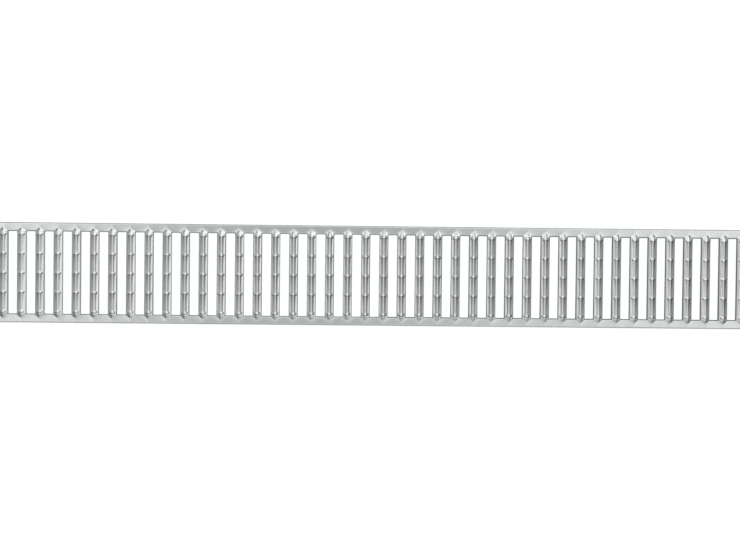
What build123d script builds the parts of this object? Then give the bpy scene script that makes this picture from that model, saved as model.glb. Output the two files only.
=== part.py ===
# Channel drain grate: one galvanised steel sheet, punched, pressed and folded.
# X runs along the channel, Y across it, Z up. The origin is on the floor plane,
# under the middle of the grate. All sizes are in millimetres.

from build123d import *

import math
import os

# Overall sizes
length = 1000.0
width = 118.0
height = 20.0
sheet = 1.5

# Folded long edges
edge_bend_inside = 1.0

# Slots, the bars between them, the rails beside them and the flanges round the slots
slot_width = 10.5
bar_width = 10.7
rail_width = 10.8
slot_flange = 4.0
least_end_strip = 10.0

# Raised crown of each bar: sloping shoulders, then a ridge
shoulder_width = 1.2
shoulder_rise = 0.3
ridge_rise = 1.0
crown_point = 4.0

# Grip studs pressed up across each bar
stud_count = 5
stud_inset = 2.9
stud_length = 4.8
stud_rise = 0.75

# Places that follow from the sizes above
pitch = slot_width + bar_width
slot_length = width - 2 * rail_width
slot_count = math.floor((length - 2 * least_end_strip + bar_width) / pitch)
bar_count = slot_count - 1
fold_radius = sheet
crown_width = bar_width - 2 * fold_radius
ridge_width = crown_width - 2 * shoulder_width
crown_half_length = slot_length / 2 + fold_radius
valley_height = height + shoulder_rise
crest_height = valley_height + ridge_rise
stud_top = crest_height + stud_rise
stud_pitch = (slot_length - 2 * stud_inset) / (stud_count - 1)


def along_length(count):
    """The middles of a row of slots or bars, one pitch apart."""
    return GridLocations(pitch, 1, count, 1)


def pyramid(corners, tip):
    """A solid from a flat polygon to one point."""
    rim = zip(corners, corners[1:] + corners[:1])
    sides = [Face(Wire.make_polygon([start, end, tip])) for start, end in rim]
    return Solid(Shell([Face(Wire.make_polygon(corners))] + sides))


def folded_sheet():
    """The plain sheet with both long edges folded down, from end to end."""
    outside = Rectangle(width, height, align=(Align.CENTER, Align.MIN))
    outside = fillet(outside.vertices().group_by(Axis.Y)[-1], edge_bend_inside + sheet)
    inside = Rectangle(width - 2 * sheet, height - sheet, align=(Align.CENTER, Align.MIN))
    inside = fillet(inside.vertices().group_by(Axis.Y)[-1], edge_bend_inside)
    end_plane = Plane(origin=(-length / 2, 0, 0), x_dir=(0, 1, 0), z_dir=(1, 0, 0))
    return extrude(end_plane * (outside - inside), amount=length)


def with_slots(body):
    """The slots, with their edges turned down into flanges that have a rounded lip."""
    collar_size = (slot_width + 2 * sheet, slot_length + 2 * sheet, slot_flange)
    collar = Box(*collar_size, align=(Align.CENTER, Align.CENTER, Align.MAX))
    hole = Box(slot_width, slot_length, 3 * slot_flange)
    rail = Pos(0, 0, height)
    body = body + [place * rail * collar for place in along_length(slot_count)]
    body = body - [place * rail * hole for place in along_length(slot_count)]
    rail_face = body.faces().sort_by(Axis.Z)[-1]
    slot_rims = [edge for wire in rail_face.inner_wires() for edge in wire.edges()]
    return fillet(slot_rims, fold_radius)


def crown_corners(y):
    """The crown's outline across the bar at one place along it."""
    half = [(crown_width / 2, height), (ridge_width / 2, valley_height)]
    outline = half + [(0, crest_height)] + [(-x, z) for x, z in reversed(half)]
    return [(x, y, z) for x, z in outline]


def crown():
    """The raised form of one bar, drawn out to a point on each rail."""
    middle_face = Face(Wire.make_polygon(crown_corners(-crown_half_length)))
    middle = extrude(middle_face, amount=2 * crown_half_length, dir=(0, 1, 0))
    ends = []
    for side in (-1, 1):
        tip = (0, side * (crown_half_length + crown_point), height)
        ends.append(pyramid(crown_corners(side * crown_half_length), tip))
    return middle + ends


def stud():
    """A grip stud that spans the crown and rises to a point above the crest."""
    # The stud is stud_length long where it leaves the crest, so its foot reaches further.
    foot_reach = stud_length / 2 * (stud_top - height) / stud_rise
    foot = [(crown_width / 2, 0), (0, foot_reach), (-crown_width / 2, 0), (0, -foot_reach)]
    return pyramid([(x, y, height) for x, y in foot], (0, 0, stud_top))


def grate():
    body = with_slots(folded_sheet())
    plain_crown = crown()
    bar = plain_crown + [place * stud() for place in GridLocations(1, stud_pitch, 1, stud_count)]
    hollow = Pos(0, 0, -sheet) * plain_crown
    body = body + [place * bar for place in along_length(bar_count)]
    return body - [place * hollow for place in along_length(bar_count)]


os.makedirs("parts", exist_ok=True)
export_step(grate(), "parts/grate.step")
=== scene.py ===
"""Channel drain grate pressed from hot-dip galvanised steel sheet, seen from straight above."""

import math
import random

import bpy
from mathutils import Euler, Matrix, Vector


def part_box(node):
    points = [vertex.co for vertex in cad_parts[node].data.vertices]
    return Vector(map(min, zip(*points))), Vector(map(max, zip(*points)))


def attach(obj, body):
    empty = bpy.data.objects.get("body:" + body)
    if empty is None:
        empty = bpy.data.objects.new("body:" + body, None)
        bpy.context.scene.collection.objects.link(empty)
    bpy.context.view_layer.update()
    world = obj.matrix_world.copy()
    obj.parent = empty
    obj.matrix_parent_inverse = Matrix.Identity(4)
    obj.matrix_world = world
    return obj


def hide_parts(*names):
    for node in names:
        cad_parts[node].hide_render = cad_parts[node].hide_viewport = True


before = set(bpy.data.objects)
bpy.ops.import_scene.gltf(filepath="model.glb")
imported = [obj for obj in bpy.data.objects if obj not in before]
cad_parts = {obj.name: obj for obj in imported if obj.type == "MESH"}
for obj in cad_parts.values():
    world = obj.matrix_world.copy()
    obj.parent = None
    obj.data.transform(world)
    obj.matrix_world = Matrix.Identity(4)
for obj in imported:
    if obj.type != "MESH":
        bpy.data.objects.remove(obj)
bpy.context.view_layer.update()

# Lengths in this file are millimetres in the grate's own frame, until METRE turns them to metres.
METRE = 0.001

# Two places closer together than this count as one.
NEAR = 0.01

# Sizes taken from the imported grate
grate_low, grate_high = [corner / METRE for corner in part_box("grate")]
LENGTH = grate_high.x - grate_low.x
WIDTH = grate_high.y - grate_low.y

# Sheet, folded edges, slots and flanges
SHEET = 1.5
RAIL_TOP = 20.0
RAIL_DISH = 0.02
EDGE_BEND = 1.7
EDGE_STRIP = 0.2
SLOT_WIDTH = 10.5
BAR_WIDTH = 10.7
RAIL_WIDTH = 10.8
SLOT_CORNER = 0.5
FLANGE_DEPTH = 4.0
LEAST_END_STRIP = 10.0

# Raised bar: a rounded crest with steep flanks that turn into gentler shoulders
CREST_ROUND = 1.0
FLANK_END = 2.6
TURN_BEFORE = 0.3
TURN_AFTER = 0.1
SHOULDER_END = 4.6
TABLE_STEP = 0.05

# Two kinds of bar in turn: flank slope, shoulder slope, shoulder foot, roll of the slot edges
CRISP_BAR = (0.57, 0.19, 0.1, 1.2)
WORN_BAR = (0.53, 0.25, 0.0, 0.8)

# Each bar is tilted a little, its right side down, and level again at its ends.
BAR_TILT = 0.05
TILT_FADE = 6.0

# Pointed end of the bar's raised form: its outline on the rail and its slanting walls
POINT_START = 1.0
POINT_HALF_WIDTH = 4.95
POINT_TIP = 5.0
POINT_SLANT = 0.38
POINT_WALL_SLOPE = 0.36
WALL_LIFT = 0.5
CREASE_ROUND = 0.15

# The bar swells towards its end, and then falls to the rail.
POINT_SWELL = 0.4
SWELL_LENGTH = 4.0
SWELL_FALL = 0.4
FALL_LEAD = 1.0
FALL_POWER = 1.4
POINT_FALL = 0.93

# Skirt of the rail, drawn up round the point
SKIRT_RISE = 0.22
SKIRT_REACH = 1.5
SKIRT_FADE = 4.0

# Grip studs, each with its steeper side towards the front
STUD_COUNT = 5
STUD_INSET = 2.9
STUD_HALF_WIDTH = 4.0
STUD_RISE = 0.38
STUD_PEAK = -0.6
STUD_BACK_LENGTH = 2.4
STUD_FRONT_LENGTH = 1.2
STUD_ROUND = 0.35

# Small differences from bar to bar and from stud to stud
PRESS_SEED = 7
MOST_LEAN = 0.1
LEAST_PRESS = 0.94
MOST_STUD_SHIFT = 0.15
LEAST_STUD_PRESS = 0.85

# Places that follow from the sizes
PITCH = SLOT_WIDTH + BAR_WIDTH
SLOT_HALF = WIDTH / 2 - RAIL_WIDTH
SLOT_COUNT = math.floor((LENGTH - 2 * LEAST_END_STRIP + BAR_WIDTH) / PITCH)
BAR_COUNT = SLOT_COUNT - 1
BEND_START = WIDTH / 2 - EDGE_BEND
RAIL_STRAIGHT = RAIL_WIDTH - EDGE_BEND - EDGE_STRIP
STUD_PITCH = (2 * SLOT_HALF - 2 * STUD_INSET) / (STUD_COUNT - 1)
SLOT_CENTRES = [(slot - (SLOT_COUNT - 1) / 2) * PITCH for slot in range(SLOT_COUNT)]
BAR_CENTRES = [(bar - (BAR_COUNT - 1) / 2) * PITCH for bar in range(BAR_COUNT)]
STUD_CENTRES = [(stud - (STUD_COUNT - 1) / 2) * STUD_PITCH for stud in range(STUD_COUNT)]
STATIONS = [-LENGTH / 2] + SLOT_CENTRES + [LENGTH / 2]


def clamp(share):
    return max(0.0, min(1.0, share))


def soft_minimum(first, second, blend):
    """The smaller of two heights, with the crease between them rounded."""
    share = clamp(0.5 + 0.5 * (second - first) / blend)
    return second * (1 - share) + first * share - blend * share * (1 - share)


class BarForm:
    """How one bar came out of the press. Bars differ by a few hundredths of a millimetre."""

    def __init__(self, number, chance):
        self.centre = BAR_CENTRES[number]
        # The tool presses two bars at a stroke, and its second half is a little worn.
        kind = CRISP_BAR if number % 2 == 1 else WORN_BAR
        self.flank_slope, self.shoulder_slope, self.foot, self.roll = kind
        self.lean = chance.uniform(-MOST_LEAN, MOST_LEAN)
        self.press = chance.uniform(LEAST_PRESS, 1.0)
        self.stud_shift = [
            chance.uniform(-MOST_STUD_SHIFT, MOST_STUD_SHIFT) for _ in STUD_CENTRES
        ]
        self.stud_press = [chance.uniform(LEAST_STUD_PRESS, 1.0) for _ in STUD_CENTRES]
        self.table = self.crest_table()

    def crest_table(self):
        """Heights across half the bar from the crest outwards, added up from its slopes."""
        heights = [0.0]
        position = SHOULDER_END
        while position > TABLE_STEP / 2:
            position -= TABLE_STEP
            slope = self.slope(position + TABLE_STEP / 2)
            heights.append(heights[-1] + TABLE_STEP * slope * self.press)
        return list(reversed(heights))

    def slope(self, away):
        """How steeply the bar falls at one distance from its crest."""
        steep = self.flank_slope
        if away < CREST_ROUND:
            return steep * away / CREST_ROUND
        if away < FLANK_END - TURN_BEFORE:
            return steep
        if away < FLANK_END + TURN_AFTER:
            turned = away - FLANK_END + TURN_BEFORE
            return steep + (self.shoulder_slope - steep) * turned / (TURN_BEFORE + TURN_AFTER)
        return self.shoulder_slope

    def across(self, away):
        """Height of the plain bar over the rail, at one distance from its crest."""
        place = abs(away - self.lean * max(0.0, 1 - abs(away) / FLANK_END)) / TABLE_STEP
        if place >= len(self.table) - 1:
            return self.foot
        low = int(place)
        share = place - low
        return self.foot + self.table[low] * (1 - share) + self.table[low + 1] * share

    def studs(self, away, along):
        """Height that the nearest grip stud adds to the plain bar."""
        span = 1 - (away / STUD_HALF_WIDTH) ** 2
        if span <= 0:
            return 0.0
        number = min(range(STUD_COUNT), key=lambda stud: abs(along - STUD_CENTRES[stud]))
        offset = along - STUD_CENTRES[number] - self.stud_shift[number] - STUD_PEAK
        length = STUD_BACK_LENGTH if offset > 0 else STUD_FRONT_LENGTH
        share = (math.hypot(offset, STUD_ROUND) - STUD_ROUND) / length
        if share >= 1:
            return 0.0
        top = self.table[0] + STUD_RISE * self.stud_press[number]
        dome = self.foot + top * span - self.across(away)
        return max(0.0, dome) * (1 - share)


chance = random.Random(PRESS_SEED)
BARS = [BarForm(number, chance) for number in range(BAR_COUNT)]


def nearest_bar(x):
    return BARS[max(0, min(BAR_COUNT - 1, round(x / PITCH + (BAR_COUNT - 1) / 2)))]


def nearest_slot(x):
    number = round(x / PITCH + (SLOT_COUNT - 1) / 2)
    return SLOT_CENTRES[max(0, min(SLOT_COUNT - 1, number))]


def point_outline(beyond):
    """Half the width of the bar's raised form, past the slot's end. Negative beyond its tip."""
    if beyond < 0:
        return BAR_WIDTH / 2
    if beyond < POINT_START:
        return BAR_WIDTH / 2 + (POINT_HALF_WIDTH - BAR_WIDTH / 2) * beyond / POINT_START
    return POINT_HALF_WIDTH * (POINT_TIP - beyond) / (POINT_TIP - POINT_START)


def drawn_in(away, beyond):
    """Where a grid line beside a bar runs past the slot's end: it closes in on the bar's point."""
    outline = max(0.0, point_outline(beyond))
    half = BAR_WIDTH / 2
    size = abs(away)
    if size <= half:
        return away * outline / half
    place = outline + (size - half) / (PITCH / 2 - half) * (PITCH / 2 - outline)
    return math.copysign(place, away)


def pressed_rise(x, y):
    """Height of the pressed forms over the rail's flat top."""
    # Rounding keeps points on a slot's wall from falling to either side of the bar's outline.
    beyond = round(abs(y) - SLOT_HALF, 6)
    rail_middle = (SHEET + RAIL_WIDTH - EDGE_BEND) / 2
    rail_half = rail_middle - SHEET
    dish = -RAIL_DISH * max(0.0, 1 - ((beyond - rail_middle) / rail_half) ** 2)
    bar = nearest_bar(x)
    away = round(x - bar.centre, 6)
    if abs(away) > PITCH / 2 + NEAR:
        return dish
    outline = point_outline(beyond)
    # On the point, the way in from the outline is shorter than the way sideways.
    incline = 1 - POINT_SLANT * clamp(beyond / POINT_START)
    depth = (outline - abs(away)) * incline
    if depth < 0 or outline == 0:
        fade = clamp((PITCH / 2 - abs(away)) / SKIRT_FADE)
        return dish + SKIRT_RISE * math.exp(depth / SKIRT_REACH) * fade
    line = abs(away) * BAR_WIDTH / 2 / outline
    tilt = BAR_TILT * clamp(-beyond / TILT_FADE)
    fall = max(0.0, beyond + FALL_LEAD) / (POINT_TIP + FALL_LEAD)
    swell = POINT_SWELL * clamp(beyond / SWELL_LENGTH + 1) * min(1.0, line / FLANK_END)
    ridge = (bar.across(line) - bar.foot) * (1 - POINT_FALL * fall ** FALL_POWER)
    crown = ridge + (bar.foot + swell) * (1 - SWELL_FALL * fall)
    wall = SKIRT_RISE + POINT_WALL_SLOPE * depth + WALL_LIFT * max(0.0, -beyond)
    return soft_minimum(crown, wall, CREASE_ROUND) + bar.studs(away, y) - tilt * away


def roll_drop(distance, radius):
    """How far the sheet has turned down, at one distance from the slot's straight wall."""
    left = radius - max(0.0, distance)
    if left <= 0:
        return 0.0
    return radius - math.sqrt(radius ** 2 - left ** 2)


def grid_point(x, y):
    """Where a grid line's point lies in plan."""
    bar = nearest_bar(x)
    away = x - bar.centre
    beyond = abs(y) - SLOT_HALF
    if beyond > 0 and abs(away) < PITCH / 2 - NEAR:
        x = bar.centre + drawn_in(away, beyond)
    return x, y


def top_point(x, y):
    """A point of the upper skin, lowered where the slot's edge rolls down."""
    slot = nearest_slot(x)
    side = 1 if x >= slot else -1
    end = 1 if y >= 0 else -1
    across = abs(x - slot) - SLOT_WIDTH / 2
    beyond = abs(y) - SLOT_HALF
    at_corner = abs(across) < NEAR and abs(beyond) < NEAR
    x, y = grid_point(x, y)
    across = abs(x - slot) - SLOT_WIDTH / 2
    beside = slot + side * PITCH / 2
    side_roll = SHEET if abs(beside) > BAR_CENTRES[-1] + NEAR else nearest_bar(beside).roll
    if at_corner:
        inset = SLOT_CORNER * (1 - math.sqrt(0.5))
        x -= side * inset
        y -= end * inset
    rise = pressed_rise(x, y)
    if across < -NEAR:
        drop = roll_drop(beyond, SHEET)
    elif beyond < -NEAR:
        drop = roll_drop(across, side_roll)
    else:
        drop = min(roll_drop(across, side_roll), roll_drop(beyond, SHEET))
    return (x, y, RAIL_TOP + rise - drop)


def lower_point(x, y):
    """A point of the lower skin, which follows the pressed forms one sheet below."""
    return (x, y, RAIL_TOP + pressed_rise(x, y) - SHEET)


class Skin:
    """The points and faces of the grate. A point that is met again stays one point."""

    def __init__(self):
        self.points = []
        self.faces = []
        self.known = {}

    def point(self, place):
        key = tuple(round(value, 3) for value in place)
        if key not in self.known:
            self.known[key] = len(self.points)
            self.points.append([value * METRE for value in place])
        return self.known[key]

    def face(self, *corners):
        numbers = []
        for corner in corners:
            number = self.point(corner)
            if number not in numbers:
                numbers.append(number)
        if len(numbers) > 2:
            self.faces.append(numbers)


def sorted_lines(values):
    """Grid lines in order, with those that fall together taken once."""
    lines = []
    for value in sorted(values):
        if not lines or value - lines[-1] > NEAR:
            lines.append(value)
    return lines


# Grid lines of the upper skin, away from a crest, past a slot's end and from a stud's middle
BAR_COLUMNS = (0, 0.35, 0.7, 1.05, 2.4, 2.8, 3.4, 3.95)
RAIL_ROWS = (1.7, 2.4, 3.1, 3.8, 4.4, 5.0, 6.6, RAIL_STRAIGHT)
STUD_ROWS = (-2.0, -1.6, -1.1, -0.6, -0.2, 0.5, 1.3, 2.2)

# Grid lines across the straight part of a slot's end, and the sheet's tilts on a rolled edge
END_STEPS = 3
END_STRAIGHT = SLOT_WIDTH / 2 - SLOT_CORNER
SLOT_END_COLUMNS = [step / END_STEPS * END_STRAIGHT for step in range(-END_STEPS, END_STEPS + 1)]
ROLL_TILTS = (90, 60, 30, 0)

# Grid lines of the lower skin, which is seen less
LOWER_BAR_COLUMNS = (0, CREST_ROUND, FLANK_END, BAR_WIDTH / 2 - SHEET)
LOWER_RAIL_ROWS = (SHEET, 3.0, 4.2, POINT_TIP, RAIL_STRAIGHT)
LOWER_STUD_ROWS = (-2.0, -1.3, -0.6, 0.7, 2.2)


def roll_steps(radius):
    """Grid lines on a rolled edge of a slot, by their distance from its straight wall."""
    return [radius * (1 - math.sin(math.radians(tilt))) for tilt in ROLL_TILTS]


def upper_columns():
    """Grid lines of the upper skin from left to right."""
    lines = []
    for bar in BARS:
        for away in BAR_COLUMNS:
            lines += [bar.centre - away, bar.centre + away]
        for step in roll_steps(bar.roll):
            lines += [bar.centre - BAR_WIDTH / 2 + step, bar.centre + BAR_WIDTH / 2 - step]
    for centre in SLOT_CENTRES:
        lines += [centre + away for away in SLOT_END_COLUMNS]
    outer = SLOT_CENTRES[-1] + SLOT_WIDTH / 2
    # The last line keeps the roll's shading off the flat end strip.
    for step in roll_steps(SHEET) + [SHEET + EDGE_STRIP]:
        lines += [-outer - step, outer + step]
    return sorted_lines(lines)


def upper_rows():
    """Grid lines of the upper skin from front to back, out to the strips by the two bends."""
    ends = [SLOT_HALF - SLOT_CORNER] + [SLOT_HALF + step for step in roll_steps(SHEET)]
    ends += [SLOT_HALF + beyond for beyond in RAIL_ROWS]
    lines = ends + [-line for line in ends]
    for centre in STUD_CENTRES:
        lines += [centre + offset for offset in STUD_ROWS]
    return sorted_lines(lines)


def lower_columns():
    lines = []
    for centre in BAR_CENTRES:
        for away in LOWER_BAR_COLUMNS:
            lines += [centre - away, centre + away]
    outer = SLOT_CENTRES[-1] + SLOT_WIDTH / 2 + SHEET
    return sorted_lines(lines + SLOT_CENTRES + [-outer, outer])


def lower_rows():
    lines = [SLOT_HALF + beyond for beyond in LOWER_RAIL_ROWS]
    lines += [-line for line in lines]
    for centre in STUD_CENTRES:
        lines += [centre + offset for offset in LOWER_STUD_ROWS]
    return sorted_lines(lines)


def over_slot(x, y):
    return abs(x - nearest_slot(x)) < SLOT_WIDTH / 2 and abs(y) < SLOT_HALF


def over_flange(x, y):
    reach = SLOT_WIDTH / 2 + SHEET
    return abs(x - nearest_slot(x)) < reach and abs(y) < SLOT_HALF + SHEET


def add_skin(skin, point, columns, rows, is_open, height, turn):
    """One skin of the sheet: its grid, the strips by both bends and the strips at both ends."""
    for left, right in zip(columns, columns[1:]):
        for front, back in zip(rows, rows[1:]):
            if is_open((left + right) / 2, (front + back) / 2):
                continue
            corners = ((left, front), (right, front), (right, back), (left, back))
            skin.face(*[point(x, y) for x, y in corners[::turn]])
    last = rows[-1]
    for left, right in zip(STATIONS, STATIONS[1:]):
        between = [x for x in columns if left - NEAR < x < right + NEAR]
        if right == STATIONS[-1]:
            between.append(right)
        if left == STATIONS[0]:
            between.insert(0, left)
        for end in (-1, 1):
            outside = [(left, end * BEND_START, height), (right, end * BEND_START, height)]
            skin.face(*outside, *[point(x, end * last) for x in reversed(between)])
    for side in (-1, 1):
        edge = side * -columns[0]
        far = side * LENGTH / 2
        skin.face(*[point(edge, y) for y in rows], point(far, last), point(far, -last))


def add_slot_walls(skin, centre):
    """The flange round one slot: its inner wall, its cut lower edge and its outer wall."""
    foot = RAIL_TOP - FLANGE_DEPTH
    half = SLOT_WIDTH / 2
    reach = half + SHEET
    straight = SLOT_HALF - SLOT_CORNER
    rows = [y for y in upper_rows() if abs(y) < straight + NEAR]
    low_rows = [y for y in lower_rows() if abs(y) < SLOT_HALF + SHEET + NEAR]

    def below(place):
        return (place[0], place[1], foot)

    def add_walls(rim, outer):
        skin.face(*rim, below(rim[-1]), below(rim[0]))
        skin.face(*outer, below(outer[-1]), below(outer[0]))
        skin.face(below(rim[0]), below(rim[-1]), below(outer[-1]), below(outer[0]))

    for side in (-1, 1):
        add_walls(
            [top_point(centre + side * half, y) for y in rows],
            [lower_point(centre + side * reach, y) for y in low_rows],
        )
    for end in (-1, 1):
        add_walls(
            [top_point(centre + away, end * SLOT_HALF) for away in SLOT_END_COLUMNS],
            [lower_point(centre + x, end * (SLOT_HALF + SHEET)) for x in (-reach, 0, reach)],
        )
        for side in (-1, 1):
            beside = top_point(centre + side * half, end * straight)
            corner = top_point(centre + side * half, end * SLOT_HALF)
            ahead = top_point(centre + side * (half - SLOT_CORNER), end * SLOT_HALF)
            skin.face(beside, corner, below(corner), below(beside))
            skin.face(corner, ahead, below(ahead), below(corner))
            outside = (centre + side * reach, end * (SLOT_HALF + SHEET), foot)
            skin.face(below(beside), below(corner), below(ahead), outside)


BEND_TILTS = [math.radians(tilt) for tilt in (0, 15, 30, 45, 60, 75, 90)]


def bend_line(radius):
    """The section of one long bend and lip, from the flat top to the lip's foot."""
    middle = RAIL_TOP - EDGE_BEND
    line = []
    for tilt in BEND_TILTS:
        line.append((BEND_START + radius * math.sin(tilt), middle + radius * math.cos(tilt)))
    return line + [(BEND_START + radius, 0.0)]


def add_lips(skin, last_upper, last_lower):
    """Both folded edges, their outside, inside and foot, and the grate's two cut ends."""
    outside = bend_line(EDGE_BEND)
    inside = bend_line(EDGE_BEND - SHEET)
    foot_out = outside[-1][0]
    foot_in = inside[-1][0]
    for end in (-1, 1):
        for left, right in zip(STATIONS, STATIONS[1:]):
            for line in (outside, inside):
                for (y0, z0), (y1, z1) in zip(line, line[1:]):
                    corners = ((left, y0, z0), (right, y0, z0), (right, y1, z1), (left, y1, z1))
                    skin.face(*[(x, end * y, z) for x, y, z in corners])
            foot = ((left, foot_out), (right, foot_out), (right, foot_in), (left, foot_in))
            skin.face(*[(x, end * y, 0.0) for x, y in foot])
    for x in (-LENGTH / 2, LENGTH / 2):
        for end in (-1, 1):
            pairs = list(zip(outside, inside))
            for (out0, in0), (out1, in1) in zip(pairs, pairs[1:]):
                skin.face(*[(x, end * y, z) for y, z in (out0, out1, in1, in0)])
        skin.face(
            (x, -BEND_START, RAIL_TOP), top_point(x, -last_upper),
            top_point(x, last_upper), (x, BEND_START, RAIL_TOP),
            (x, BEND_START, RAIL_TOP - SHEET), lower_point(x, last_lower),
            lower_point(x, -last_lower), (x, -BEND_START, RAIL_TOP - SHEET),
        )


# A crease sharper than this stays sharp in the shading.
SHARP_ANGLE = math.radians(50)


def make_grate():
    skin = Skin()
    rows = upper_rows()
    low_rows = lower_rows()
    add_skin(skin, top_point, upper_columns(), rows, over_slot, RAIL_TOP, 1)
    add_skin(skin, lower_point, lower_columns(), low_rows, over_flange, RAIL_TOP - SHEET, -1)
    for centre in SLOT_CENTRES:
        add_slot_walls(skin, centre)
    add_lips(skin, rows[-1], low_rows[-1])
    mesh = bpy.data.meshes.new("pressed_grate")
    mesh.from_pydata(skin.points, [], skin.faces)
    mesh.validate()
    grate = bpy.data.objects.new("pressed_grate", mesh)
    bpy.context.collection.objects.link(grate)
    bpy.context.view_layer.objects.active = grate
    grate.select_set(True)
    bpy.ops.object.mode_set(mode="EDIT")
    bpy.ops.mesh.select_all(action="SELECT")
    bpy.ops.mesh.normals_make_consistent(inside=False)
    bpy.ops.object.mode_set(mode="OBJECT")
    mesh.shade_smooth()
    mesh.set_sharp_from_angle(angle=SHARP_ANGLE)
    return grate


def from_hex(code):
    """An sRGB hex colour as linear values."""
    channels = [int(code[place:place + 2], 16) / 255 for place in (1, 3, 5)]
    linear = [c / 12.92 if c <= 0.04045 else ((c + 0.055) / 1.055) ** 2.4 for c in channels]
    return (*linear, 1.0)


def add_node(tree, kind, inputs, **settings):
    """Adds one node. An input is a plain value or the socket that feeds it."""
    node = tree.nodes.new(kind)
    for name, value in settings.items():
        setattr(node, name, value)
    for name, value in inputs.items():
        if isinstance(value, bpy.types.NodeSocket):
            tree.links.new(value, node.inputs[name])
        else:
            node.inputs[name].default_value = value
    return node


def set_stops(ramp, stops, interpolation="B_SPLINE"):
    """Sets a colour ramp's stops, each a place and a grey value or a hex colour."""
    ramp.color_ramp.interpolation = interpolation
    elements = ramp.color_ramp.elements
    while len(elements) < len(stops):
        elements.new(0.5)
    for element, (place, value) in zip(elements, stops):
        element.position = place
        element.color = from_hex(value) if isinstance(value, str) else (value, value, value, 1.0)


# Sizes in the zinc. Its grain is drawn coarser than the real one, so that it shows.
CLOUD_SIZE = 22
SPANGLE_SIZE = 7
SPANGLE_SHARE = 0.22
GRAIN_SIZE = 1.6
GRAIN_DEPTH = 0.2
CLOUD_DEPTH = 0.5


def hot_dip_zinc():
    """Hot-dip galvanised steel: satin zinc with faint clouds, and spangle of a few millimetres."""
    material = bpy.data.materials.new("hot_dip_zinc")
    material.use_nodes = True
    tree = material.node_tree
    tree.nodes.clear()
    place = add_node(tree, "ShaderNodeTexCoord", {}).outputs["Object"]
    clouds = add_node(
        tree, "ShaderNodeTexNoise",
        {"Vector": place, "Scale": 1 / (CLOUD_SIZE * METRE), "Detail": 3.0, "Roughness": 0.55},
    ).outputs["Fac"]
    spangle = add_node(
        tree, "ShaderNodeTexVoronoi",
        {"Vector": place, "Scale": 1 / (SPANGLE_SIZE * METRE), "Randomness": 1.0},
    ).outputs["Color"]
    grain = add_node(
        tree, "ShaderNodeTexNoise",
        {"Vector": place, "Scale": 1 / (GRAIN_SIZE * METRE), "Detail": 4.0},
    ).outputs["Fac"]
    patch = add_node(
        tree, "ShaderNodeMix", {"Factor": SPANGLE_SHARE, 2: clouds, 3: spangle},
        data_type="FLOAT",
    ).outputs[0]
    colour = add_node(tree, "ShaderNodeValToRGB", {"Fac": patch})
    set_stops(colour, [(0.25, "#DDE3E2"), (0.5, "#E5EAE9"), (0.75, "#ECF0EF")])
    rough = add_node(
        tree, "ShaderNodeMapRange",
        {"Value": patch, "From Min": 0.2, "From Max": 0.8, "To Min": 0.22, "To Max": 0.17},
    ).outputs[0]
    bumps = add_node(
        tree, "ShaderNodeBump",
        {"Height": grain, "Strength": 0.05, "Distance": GRAIN_DEPTH * METRE},
    ).outputs[0]
    waves = add_node(
        tree, "ShaderNodeBump",
        {"Height": clouds, "Strength": 0.15, "Distance": CLOUD_DEPTH * METRE, "Normal": bumps},
    ).outputs[0]
    surface = add_node(
        tree, "ShaderNodeBsdfPrincipled",
        {"Base Color": colour.outputs[0], "Metallic": 1.0, "Roughness": rough, "Normal": waves},
    )
    add_node(tree, "ShaderNodeOutputMaterial", {"Surface": surface.outputs[0]})
    return material


def matt_card(name, glow):
    """Matt card or acrylic of the studio, lit through from below, so it looks even and soft. The
    grey cards under the grate glow as painted shade.
    """
    material = bpy.data.materials.new(name)
    material.use_nodes = True
    surface = material.node_tree.nodes["Principled BSDF"]
    surface.inputs["Base Color"].default_value = from_hex("#5A5A5A")
    surface.inputs["Roughness"].default_value = 1.0
    surface.inputs["Emission Color"].default_value = from_hex("#FFFFFF")
    surface.inputs["Emission Strength"].default_value = glow
    return material


# Soft lights round the camera, as brightness over the angle from straight up
LIGHT_STRENGTH = 0.85
BRIGHTEST = 2.0

# From left to right
SIDE_LIGHT = [
    (-90, 0.38), (-68, 0.44), (-52, 0.54), (-44, 0.42), (-38, 0.38), (-34, 0.4), (-30, 0.55),
    (-26, 0.86), (-22, 1.05), (-18, 1.2), (-14, 1.06), (-8, 0.9), (0, 1.06), (8, 1.08),
    (16, 1.05), (20, 1.1), (25, 1.18), (30, 1.28), (34, 1.1), (38, 0.64), (43, 0.4),
    (47, 0.3), (52, 0.32), (58, 0.46), (64, 0.42), (70, 0.26), (78, 0.16), (90, 0.14),
]

# From front to back
DEPTH_LIGHT = [
    (-90, 0.45), (-60, 0.32), (-36, 0.5), (-25, 0.7), (-16, 0.82), (-8, 0.95), (0, 1.0),
    (8, 1.0), (14, 1.08), (19, 1.4), (29, 1.4), (33, 0.95), (38, 0.4), (60, 0.3), (90, 0.25),
]

# The camera stands dark in the middle of the lights, with its stand a little to the back.
CAMERA_SHADE = [
    (0.0, 0.44), (0.05, 0.455), (0.1, 0.55), (0.15, 0.7),
    (0.2, 0.84), (0.25, 0.95), (0.3, 1.0), (1.0, 1.0),
]
CAMERA_STAND = (0.0, -0.02, 0.0)


def light_profile(tree, sideways, upward, stops):
    """Brightness by the angle between one sideways direction and straight up."""
    angle = add_node(
        tree, "ShaderNodeMath", {0: sideways, 1: upward}, operation="ARCTAN2",
    ).outputs[0]
    share = add_node(
        tree, "ShaderNodeMath", {0: angle, 1: 1 / math.pi, 2: 0.5}, operation="MULTIPLY_ADD",
    ).outputs[0]
    ramp = add_node(tree, "ShaderNodeValToRGB", {"Fac": share})
    places = [(degrees / 180 + 0.5, value / BRIGHTEST) for degrees, value in stops]
    set_stops(ramp, places, "CARDINAL")
    return add_node(
        tree, "ShaderNodeMath", {0: ramp.outputs[0], 1: BRIGHTEST}, operation="MULTIPLY",
    ).outputs[0]


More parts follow.
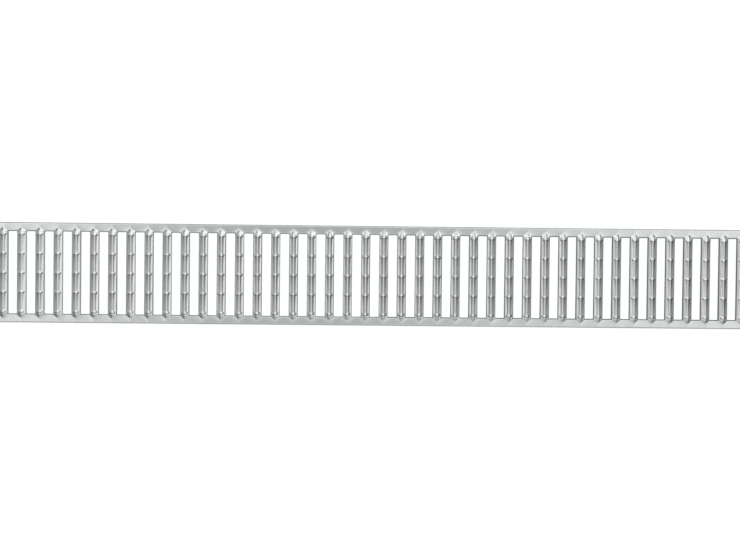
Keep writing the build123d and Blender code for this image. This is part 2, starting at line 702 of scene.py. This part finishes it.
def light_studio():
    """Soft lights that the grate sees, and a plain pale backdrop for the camera."""
    world = bpy.data.worlds.new("studio")
    world.use_nodes = True
    tree = world.node_tree
    tree.nodes.clear()
    direction = add_node(tree, "ShaderNodeTexCoord", {}).outputs["Generated"]
    parts = add_node(tree, "ShaderNodeSeparateXYZ", {"Vector": direction}).outputs
    side = light_profile(tree, parts["X"], parts["Z"], SIDE_LIGHT)
    depth = light_profile(tree, parts["Y"], parts["Z"], DEPTH_LIGHT)
    flat = add_node(
        tree, "ShaderNodeVectorMath", {0: direction, 1: (1.0, 1.0, 0.0), 2: CAMERA_STAND},
        operation="MULTIPLY_ADD",
    ).outputs[0]
    off_axis = add_node(
        tree, "ShaderNodeVectorMath", {0: flat}, operation="LENGTH",
    ).outputs["Value"]
    shade = add_node(tree, "ShaderNodeValToRGB", {"Fac": off_axis})
    set_stops(shade, CAMERA_SHADE, "CARDINAL")
    light = side
    for share in (depth, shade.outputs[0], LIGHT_STRENGTH):
        light = add_node(
            tree, "ShaderNodeMath", {0: light, 1: share}, operation="MULTIPLY",
        ).outputs[0]
    seen = add_node(tree, "ShaderNodeLightPath", {}).outputs["Is Camera Ray"]
    softboxes = add_node(
        tree, "ShaderNodeBackground", {"Color": from_hex("#FFFFFF"), "Strength": light},
    ).outputs[0]
    backdrop = add_node(
        tree, "ShaderNodeBackground", {"Color": from_hex("#FAFBFB"), "Strength": 1.0},
    ).outputs[0]
    mixed = add_node(tree, "ShaderNodeMixShader", {0: seen, 1: softboxes, 2: backdrop})
    add_node(tree, "ShaderNodeOutputWorld", {"Surface": mixed.outputs[0]})
    bpy.context.scene.world = world


# Table, and under the grate cards that glow as painted shade
TABLE_REACH = 3000
SHADE_CARD_HEIGHT = 1.0
TABLE_GLOW = 0.97
# The two grey cards' glows are painted shade, lighter under the left half of the grate and darker
# under its right half.
LEFT_SHADE_CARD_GLOW = 0.42
RIGHT_SHADE_CARD_GLOW = 0.12


def lay_flat(name, left, right, half_width, height, material):
    """One flat rectangle of the studio, marked as a stage piece."""
    corners = ((left, -half_width), (right, -half_width), (right, half_width), (left, half_width))
    mesh = bpy.data.meshes.new(name)
    points = [(x * METRE, y * METRE, height * METRE) for x, y in corners]
    mesh.from_pydata(points, [], [(0, 1, 2, 3)])
    mesh.materials.append(material)
    flat = bpy.data.objects.new(name, mesh)
    bpy.context.collection.objects.link(flat)
    return flat


def lay_table():
    """A white table, and under the grate a lighter and a darker card that only its steel sees:
    painted shade standing for the grate's own shadow on the floor, darker under its right half.
    """
    white_table = matt_card("white_table", TABLE_GLOW)
    lay_flat("table", -TABLE_REACH, TABLE_REACH, TABLE_REACH, 0, white_table)
    inside = WIDTH / 2 - 2 * SHEET
    cards = [
        ("left_painted_shade_card", -LENGTH / 2, 0, matt_card("lighter_painted_shade", LEFT_SHADE_CARD_GLOW)),
        ("right_painted_shade_card", 0, LENGTH / 2, matt_card("darker_painted_shade", RIGHT_SHADE_CARD_GLOW)),
    ]
    # Each grey card is painted shade, hidden from the camera and seen only in the steel's
    # reflections.
    for name, left, right, material in cards:
        card = lay_flat(name, left, right, inside, SHADE_CARD_HEIGHT, material)
        card.visible_camera = False


# Camera over the grate
LENS = 57.04
SENSOR_WIDTH = 36.0
CAMERA_PLACE = (-42.8, 24.2, 1400.0)
CAMERA_TURN = (-0.0195, -0.0197, 0.0107)

# The picture's middle is off by half a pixel, given as a share of its width of 740 pixels.
HALF_PIXEL = 0.5 / 740


def place_camera():
    """A camera on a stand over the grate, looking down and a little off square."""
    camera = bpy.data.cameras.new("camera")
    camera.lens = LENS
    camera.sensor_width = SENSOR_WIDTH
    camera.shift_x = -HALF_PIXEL
    camera.shift_y = HALF_PIXEL
    holder = bpy.data.objects.new("camera", camera)
    holder.location = Vector(CAMERA_PLACE) * METRE
    holder.rotation_euler = Euler(CAMERA_TURN, "XYZ")
    bpy.context.collection.objects.link(holder)
    bpy.context.scene.camera = holder


grate = make_grate()
grate.data.materials.append(hot_dip_zinc())
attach(grate, "root")
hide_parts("grate")

lay_table()
light_studio()
place_camera()
bpy.context.scene.view_settings.view_transform = "Standard"
bpy.context.scene.view_settings.look = "None"
